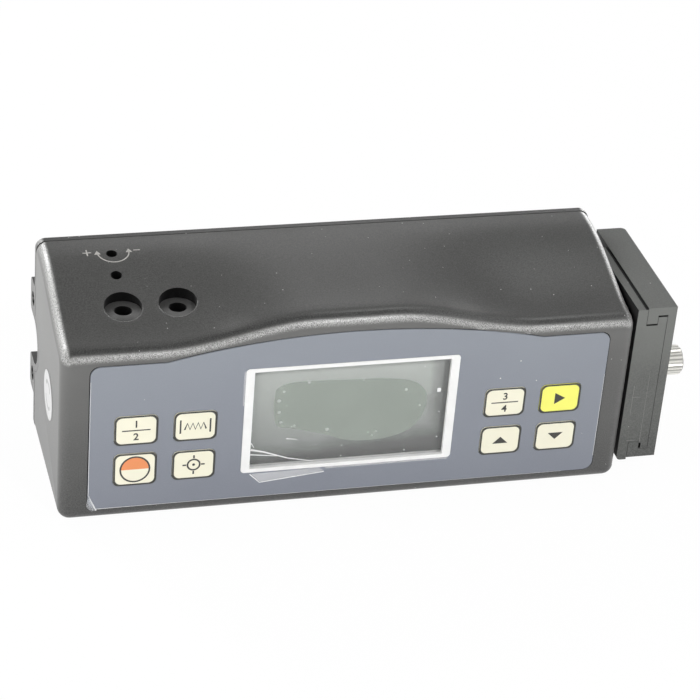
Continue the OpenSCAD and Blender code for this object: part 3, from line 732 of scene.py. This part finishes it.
def figure(name, loops, thick, material, body, facing, level):
    """A thin solid of the given plane figure, level millimetres along the facing's own axis."""
    curve = bpy.data.curves.new(name, "CURVE")
    curve.dimensions = "2D"
    curve.fill_mode = "BOTH"
    curve.extrude = thick / 2
    for loop in loops:
        spline = curve.splines.new("POLY")
        spline.points.add(len(loop) - 1)
        for point, (u, v) in zip(spline.points, loop):
            point.co = (u, v, 0, 1)
        spline.use_cyclic_u = True
    mesh = mesh_of(curve)
    shift = at(*(level * abs(c) for c in facing.col[2]))
    mesh.transform(Matrix.Translation(shift) @ facing.to_4x4() @ Matrix.Scale(MM, 4))
    work = bmesh.new()
    work.from_mesh(mesh)
    bmesh.ops.remove_doubles(work, verts=work.verts, dist=FIGURE_WELD)
    bmesh.ops.recalc_face_normals(work, faces=work.faces)
    work.to_mesh(mesh)
    work.free()
    mesh.shade_flat()
    mesh.name = name
    obj = bpy.data.objects.new(name, mesh)
    bpy.context.scene.collection.objects.link(obj)
    mesh.materials.clear()
    mesh.materials.append(material)
    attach(obj, body)
    return obj


# Key print, in millimetres
INK_T = 0.03
INK_SINK = 0.01
RIM_W = 0.42
KEY_R = 1.4
RING_R = 3.72
RING_W = 0.42
BAR_W = 0.3
BAR_HALF = 3.4
DIGIT_H = 1.9
DIGIT_RISE = 1.75
DIGIT_SHARE = 0.7  # a digit's share of its font size
BOLD = 0.05
MARK_W = 0.4
CRESTS = 9
CREST_PITCH = 0.65
CREST_H = 0.9
LIMIT_AT = 3.6
LIMIT_H = 1.9
TARGET_R = 1.7
TARGET_HOLE_R = 1.28
TICK = (1.8, 2.7)
DOT_R = 0.35


def digits(text, mid, height):
    """Outline loops of a plain number, centred on a point."""
    curve = bpy.data.curves.new("number", "FONT")
    curve.body = text
    curve.size = height / DIGIT_SHARE
    curve.offset = BOLD
    curve.resolution_u = 4
    mesh = mesh_of(curve)
    work = bmesh.new()
    work.from_mesh(mesh)
    bmesh.ops.remove_doubles(work, verts=work.verts, dist=DIGIT_WELD)
    loops = []
    rim = dict.fromkeys(e for e in work.edges if len(e.link_faces) == 1)
    while rim:
        edge, _ = rim.popitem()
        loop = [edge.verts[0], edge.verts[1]]
        while True:
            step = next((e for e in loop[-1].link_edges if e in rim), None)
            if step is None:
                break
            rim.pop(step)
            loop.append(step.other_vert(loop[-1]))
        loops.append([(v.co.x, v.co.y) for v in loop[:-1]])
    work.free()
    bpy.data.meshes.remove(mesh)
    us = [u for loop in loops for u, v in loop]
    vs = [v for loop in loops for u, v in loop]
    shift = (mid[0] - (min(us) + max(us)) / 2, mid[1] - (min(vs) + max(vs)) / 2)
    return [moved(loop, shift) for loop in loops]


def fraction(face, upper, lower):
    """One number over another, with a bar between."""
    x, z = face.mid
    bar = even([(x - BAR_HALF, z), (x + BAR_HALF, z)], BAR_W)
    over = digits(upper, (x, z + DIGIT_RISE), DIGIT_H)
    under = digits(lower, (x, z - DIGIT_RISE), DIGIT_H)
    return [bar] + over + under


def profile_mark(face):
    """A zigzag profile between two limits."""
    x, z = face.mid
    start = x - CREST_PITCH * (CRESTS - 1) / 2
    crests = [(start + CREST_PITCH * i, z + (CREST_H if i % 2 else -CREST_H))
              for i in range(CRESTS)]
    limits = [even([(side, z - LIMIT_H), (side, z + LIMIT_H)], MARK_W)
              for side in (x - LIMIT_AT, x + LIMIT_AT)]
    return [even(crests, MARK_W)] + limits


def target_mark(face):
    """A ring with four short ticks and a dot."""
    x, z = face.mid
    loops = [disc(face.mid, TARGET_R), disc(face.mid, TARGET_HOLE_R)]
    for c, s in ((1, 0), (0, 1), (-1, 0), (0, -1)):
        loops.append(even([(x + r * c, z + r * s) for r in TICK], MARK_W))
    loops.append(disc(face.mid, DOT_R, 16))
    return loops


def triangle(face, half_w, half_h, turn):
    """An arrow head, pointing up, down or to the right."""
    shape = [(-half_w, -half_h), (half_w, -half_h), (0, half_h)]
    if turn == "down":
        shape = [(u, -v) for u, v in shape]
    if turn == "right":
        shape = [(v, -u) for u, v in shape]
    return [moved(shape, face.mid)]


def key_figure(key, mark, loops, material):
    """Print on a key's face."""
    level = Face(key).front - INK_T / 2 + INK_SINK
    figure(key + mark, loops, INK_T, material, key, FACE_FRONT, level)


def key_print():
    """Dark rims and plain marks on the eight keys."""
    ink = print_ink("key_ink", (0.05, 0.05, 0.043))
    orange = key_film("orange_film", (0.84, 0.3, 0.115))
    marks = {
        "key_select": lambda f: fraction(f, "1", "2"),
        "key_range": profile_mark,
        "key_adjust": target_mark,
        "key_units": lambda f: fraction(f, "3", "4"),
        "key_run": lambda f: triangle(f, 1.6, 1.35, "right"),
        "key_up": lambda f: triangle(f, 1.95, 0.95, "up"),
        "key_down": lambda f: triangle(f, 1.95, 0.95, "down"),
    }
    for name in KEYS:
        face = Face(name)
        outer = rounded(face.x0, face.z0, face.x1, face.z1, KEY_R)
        inner = rounded(face.x0 + RIM_W, face.z0 + RIM_W, face.x1 - RIM_W, face.z1 - RIM_W, KEY_R)
        key_figure(name, "_rim", [outer, inner], ink)
        if name in marks:
            key_figure(name, "_mark", marks[name](face), ink)
        else:
            inside = RING_R - RING_W
            ring = [disc(face.mid, RING_R, 56), disc(face.mid, inside, 56)]
            key_figure(name, "_ring", ring, ink)
            key_figure(name, "_half", [arc(face.mid, inside, 0, 180, 40)], orange)


# Print on the top, in millimetres: the adjuster's double arrow, and pale rims at the sockets
PRINT_T = 0.03
ADJUST_MID = (17.55, 34.0)
ADJUST_R = 3.85
ADJUST_TURNS = (186, 358)
ARROW_W = 0.29
ARROW_HEAD = [(-0.8, -0.35), (0.8, -0.35), (0, 1.1)]
PLUS_AT = (-6.3, 0.1)
PLUS_SIZES = (1.05, 1.2, 0.16)
MINUS_AT = (5.8, 0.2)
MINUS_LINE = [(-0.8, 0), (0.8, 0)]
MINUS_W = 0.32
RUB_GAP = 0.16
RUB_W = 0.28
RUB_TURNS = (185, 355)
CLEAR_ABOVE = 0.01


def top_print():
    """A double arrow with a plus and a minus, and the sockets' rims, laid on the curved top."""
    white = print_ink("white_ink", (0.42, 0.41, 0.39))
    curve = arc(ADJUST_MID, ADJUST_R, *ADJUST_TURNS, 36)
    plus = moved([PLUS_AT], ADJUST_MID)[0]
    minus = moved([MINUS_AT], ADJUST_MID)[0]
    signs = [moved(ARROW_HEAD, tip) for tip in (curve[0], curve[-1])]
    signs.append(moved(cross_outline(*PLUS_SIZES), plus))
    signs.append(even(moved(MINUS_LINE, minus), MINUS_W))
    for name, loops in (("adjust_arc", [even(curve, ARROW_W)]), ("adjust_mark", signs)):
        lay_on_top(figure(name, loops, PRINT_T, white, "case", FACE_UP, 0))
    rub = clear_film("rim_rub", (0.45, 0.45, 0.44), 0.2, 0.4)
    rims = []
    for node in JACKS:
        mid = middle_mm(node)
        rim = arc((mid.x, mid.y), RECESS_R / MM + RUB_GAP, *RUB_TURNS, 40)
        rims.append(even(rim, RUB_W))
    lay_on_top(figure("recess_rims", rims, PRINT_T, rub, "case", FACE_UP, 0))


def lay_on_top(obj):
    """Drops a thin figure on to the housing's top."""
    housing = nodes["housing"]
    tree = BVHTree.FromPolygons([v.co for v in housing.data.vertices],
                                [p.vertices for p in housing.data.polygons])
    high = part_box("housing")[1].z + CLEAR_ABOVE
    down = Vector((0, 0, -1))
    for vertex in obj.data.vertices:
        rise = vertex.co.z - BASE
        hit = tree.ray_cast(Vector((vertex.co.x, vertex.co.y, high)), down)[0]
        vertex.co.z = hit.z + rise + PRINT_T * MM / 2 - INK_SINK * MM


# Protective film on the display, in millimetres from its lower left corner:
# its stuck patch, bubbles, creases, a fleck and the loose tab
PATCH = [(5.3, 16.1), (5.3, 19.7), (6.2, 22.2), (10.8, 23.4), (23.7, 23.0), (33.3, 22.5),
         (40.6, 20.6), (43.3, 15.5), (40.5, 8.4), (33.1, 5.3), (24.2, 5.6), (18.5, 7.8),
         (9.6, 10.4), (6.3, 11.3)]
BUBBLES = [(6.6, 15.1, 0.45), (7.2, 12.2, 0.4), (18.8, 9.2, 0.5), (13.5, 23.0, 0.45),
           (37.8, 19.0, 0.4), (31.1, 7.6, 0.35), (30.2, 6.4, 0.3), (6.4, 18.4, 0.5),
           (7.5, 20.9, 0.4), (27.0, 22.6, 0.3), (41.6, 14.2, 0.3), (10.6, 11.0, 0.3)]
CREASES = [([(0.2, 4.9), (3.5, 4.0), (9.5, 1.7), (15.8, 0.3)], [0.55, 0.4, 0.26, 0.16]),
           ([(0.2, 3.5), (8.0, 2.4)], [0.34, 0.1]),
           ([(0.2, 6.8), (1.0, 5.4)], [0.3, 0.12]),
           ([(8.8, 7.4), (11.6, 6.9)], [0.26, 0.06])]
FLECK = (46.1, 18.2)
FLECK_HALF = (0.45, 0.55)
TAB = [(0.1, -1.6), (2.6, -4.2), (18.6, -2.5), (17.3, -1.2)]
TAB_EDGE_W = 0.2
CORNER_R = 0.1
# Its margins beside the display's frame: the left one's width and its length from the top,
# the lower one's width and its start from the left, their lap and their distance from corners
LEFT_MARGIN_W = 0.45
LEFT_MARGIN_H = 10
LOW_MARGIN_H = 0.55
LOW_MARGIN_X = 21
MARGIN_LAP = 0.1
MARGIN_END = 0.7
FILM_T = 0.02
LAP = 0.005


def film_figure(name, loops, material, level):
    """A thin piece of clear film on the case's front."""
    return figure(name, loops, FILM_T, material, "case", FACE_FRONT, level)


def display_film(window):
    """What the protective film shows over the display."""
    corner = (window.x0, window.z0)
    level = Face("lens_film").front - FILM_T / 2 + LAP
    raised = level - FILM_T + LAP
    stuck = clear_film("film_stuck", (0.37, 0.42, 0.37), 0.45, 0.15)
    patch = film_figure("film_patch", [rounded_loop(moved(PATCH, corner))], stuck, level)
    patch.visible_shadow = False
    patch.visible_diffuse = False
    pale = clear_film("film_bubble", (0.72, 0.75, 0.72), 0.5, 0.15)
    spots = [disc((window.x0 + u, window.z0 + v), r, 20) for u, v, r in BUBBLES]
    film_figure("film_bubbles", spots, pale, raised)
    crease = clear_film("film_crease", (0.95, 0.95, 0.95), 0.95, 0.2)
    lines = [stroke(moved(points, corner), widths) for points, widths in CREASES]
    x, z = moved([FLECK], corner)[0]
    half_w, half_h = FLECK_HALF
    lines.append(rounded(x - half_w, z - half_h, x + half_w, z + half_h, CORNER_R))
    film_figure("film_creases", lines, crease, raised)
    front = Face("front_film").front
    haze = clear_film("film_haze", (0.92, 0.93, 0.95), 0.3, 0.15)
    tab = moved(TAB, corner)
    film_figure("film_tab", [tab], haze, front - FILM_T)
    rim = Face("display_frame")
    margins = [rounded(rim.x0 - LEFT_MARGIN_W, rim.z1 - LEFT_MARGIN_H,
                       rim.x0 + MARGIN_LAP, rim.z1 - MARGIN_END, CORNER_R),
               rounded(rim.x0 + LOW_MARGIN_X, rim.z0 - LOW_MARGIN_H,
                       rim.x1 - MARGIN_END, rim.z0 + MARGIN_LAP, CORNER_R)]
    film_figure("film_margins", margins, haze, front - FILM_T)
    film_figure("film_tab_edge", [even(tab[:3], TAB_EDGE_W)], crease, front - 2 * FILM_T)


# Loose corner and edges of the panel's protective film, in millimetres
FLAP = [(7.05, 7.4), (6.75, 6.0), (6.6, 4.3), (7.2, 3.3), (8.1, 2.75), (9.0, 2.85)]
FLAP_CREASE = [FLAP[0], (7.9, 5.3), FLAP[-1]]
EDGE_IN = 0.1


def panel_film():
    """Lifted corner and bright edges of the panel's protective film."""
    panel = Face("front_film")
    haze = clear_film("corner_haze", (0.8, 0.82, 0.85), 0.2, 0.2)
    bright = clear_film("edge_glint", (0.95, 0.96, 0.97), 0.75, 0.2)
    film_figure("panel_flap", [FLAP], haze, panel.front - FILM_T)
    left, right = panel.x0 + EDGE_IN, panel.x1 - EDGE_IN
    low, end_low = panel.z0 + 0.08, panel.z0 + 0.05
    lines = [stroke(FLAP_CREASE, [0.12, 0.24, 0.3]),
             stroke([(left, FLAP[0][1]), (left, 22), (left, panel.z1 - 9)], [0.14, 0.1, 0.1]),
             stroke([(FLAP[-1][0], low), (24, low), (panel.x1 - 8, end_low)], [0.16, 0.08, 0.05]),
             stroke([(right, panel.z0 + 4), (right, panel.z0 + 28)], [0.12, 0.06])]
    film_figure("panel_film_edges", lines, bright, panel.front - 2 * FILM_T)


# Arcs on the round label: degrees, and shares of its radius
LABEL_STARTS = (35, 205)
LABEL_TURN = 115
LABEL_ARC_R = 0.55
LABEL_ARC_W = 0.14


def label_print():
    """Two plain grey arcs on the round label."""
    low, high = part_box("round_label")
    spot = middle_mm("round_label")
    radius = (high.z - low.z) / 2 / MM
    grey = print_ink("label_ink", (0.36, 0.36, 0.36))
    arcs = []
    for start in LABEL_STARTS:
        line = arc((-spot.y, spot.z), LABEL_ARC_R * radius, start, start + LABEL_TURN, 24)
        arcs.append(even(line, LABEL_ARC_W * radius))
    level = (low.x - LEFT) / MM - INK_T / 2 + INK_SINK
    figure("label_arcs", arcs, INK_T, grey, "case", FACE_LEFT, level)


# Rub lines on the end block, in millimetres from its lower left corner, with their widths
RUBS = [([(2.4, 22), (2.4, 13.5)], [0.12, 0.08]),
        ([(2.3, 18.6), (4.6, 18.5)], [0.12, 0.05]),
        ([(2.6, 5.6), (4.9, 5.7)], [0.14, 0.06]),
        ([(6.0, 26), (6.0, 5)], [0.05, 0.09])]


def block_rubs():
    """Faint rub lines on the end block's front."""
    plate = Face("rail_plate")
    rub = clear_film("rub_marks", (0.5, 0.5, 0.48), 0.5, 0.4)
    lines = [stroke(moved(points, (plate.x0, plate.z0)), widths) for points, widths in RUBS]
    level = plate.front - FILM_T / 2
    figure("block_rubs", lines, FILM_T, rub, "case", FACE_FRONT, level)


# Surroundings: strength at the horizon and overhead, and between which heights it falls
HORIZON = 0.4
ZENITH = 0.02
FALL = (0.08, 0.28)
# Floor: its glow to the camera and in mirrors, half its width and its drop below the base
FLOOR_GLOW = 0.97
FLOOR_HALF = 3.0
FLOOR_DROP = 0.0002
# Lamps: place in metres, width in metres and power, all aimed at one point
LAMPS = {
    "key": ((0.2, -0.62, 0.62), 0.12, 3.3),
    "front": ((-0.5, -0.65, 0.26), 0.5, 1.35),
    "left": ((-1.1, 0.05, 0.42), 1.4, 14),
    "left_high": ((-0.55, 0.78, 0.56), 0.3, 6),
    "rear": ((0.2, 1.03, 0.68), 0.5, 0.5),
    "rear_right": ((0.36, 1.0, 0.66), 0.4, 0.22),
    "right_high": ((0.42, 0.3, 1.15), 0.3, 1.1),
    "right_low": ((0.75, 0.8, 0.15), 0.5, 4),
    "right": ((1.05, -0.15, 0.6), 1.4, 7),
}
LAMP_AIM = Vector((0, 0, 0.025))


def surroundings():
    """White for the camera, and for all else a pale horizon under a dark sky."""
    world = bpy.data.worlds.new("studio")
    bpy.context.scene.world = world
    world.use_nodes = True
    tree = world.node_tree
    back = tree.nodes["Background"]
    path = tree.nodes.new("ShaderNodeLightPath")
    where = tree.nodes.new("ShaderNodeTexCoord")
    apart = tree.nodes.new("ShaderNodeSeparateXYZ")
    tree.links.new(where.outputs["Generated"], apart.inputs[0])
    fall = tree.nodes.new("ShaderNodeMapRange")
    fall.inputs["From Min"].default_value = FALL[0]
    fall.inputs["From Max"].default_value = FALL[1]
    fall.inputs["To Min"].default_value = HORIZON
    fall.inputs["To Max"].default_value = ZENITH
    tree.links.new(apart.outputs[2], fall.inputs["Value"])
    pick = tree.nodes.new("ShaderNodeMapRange")
    pick.inputs["To Max"].default_value = 1.0
    tree.links.new(path.outputs["Is Camera Ray"], pick.inputs["Value"])
    tree.links.new(fall.outputs["Result"], pick.inputs["To Min"])
    back.inputs["Color"].default_value = (1, 1, 1, 1)
    tree.links.new(pick.outputs["Result"], back.inputs["Strength"])


def make_floor():
    """A pale floor that glows for the camera, mirrors and glass, and takes soft shadows."""
    half = FLOOR_HALF
    mesh = bpy.data.meshes.new("floor")
    corners = [(-half, -half, 0), (half, -half, 0), (half, half, 0), (-half, half, 0)]
    mesh.from_pydata(corners, [], [(0, 1, 2, 3)])
    floor = bpy.data.objects.new("floor", mesh)
    floor.location.z = BASE - FLOOR_DROP
    bpy.context.scene.collection.objects.link(floor)
    s = Shader("floor")
    s.colour(s.mix(s.noise(3, 2), (0.86, 0.86, 0.86), (0.9, 0.9, 0.9)))
    s.set(Roughness=0.8)
    glow = s.node("ShaderNodeEmission")
    path = s.node("ShaderNodeLightPath")
    seen = s.either(path.outputs["Is Camera Ray"], path.outputs["Is Glossy Ray"])
    seen = s.either(seen, path.outputs["Is Transmission Ray"])
    blend = s.node("ShaderNodeMixShader")
    s.link(s.times(seen, FLOOR_GLOW), blend.inputs[0])
    s.link(s.bsdf.outputs[0], blend.inputs[1])
    s.link(glow.outputs[0], blend.inputs[2])
    s.link(blend.outputs[0], s.tree.nodes["Material Output"].inputs["Surface"])
    mesh.materials.append(s.material)


def lamp(name, place, size, power):
    """A round lamp that looks at the object."""
    data = bpy.data.lights.new(name, "AREA")
    data.shape = "DISK"
    data.size = size
    data.energy = power
    obj = bpy.data.objects.new(name, data)
    obj.location = place
    obj.rotation_mode = "QUATERNION"
    obj.rotation_quaternion = (LAMP_AIM - Vector(place)).to_track_quat("-Z", "Y")
    bpy.context.scene.collection.objects.link(obj)


make_camera()
bpy.context.scene.view_settings.view_transform = "Standard"
surroundings()
make_floor()
for name, values in LAMPS.items():
    lamp(name, *values)

window = Face("lens_film")
dress(window)
for obj in nodes.values():
    soften(obj)
key_print()
top_print()
display_film(window)
panel_film()
label_print()
block_rubs()
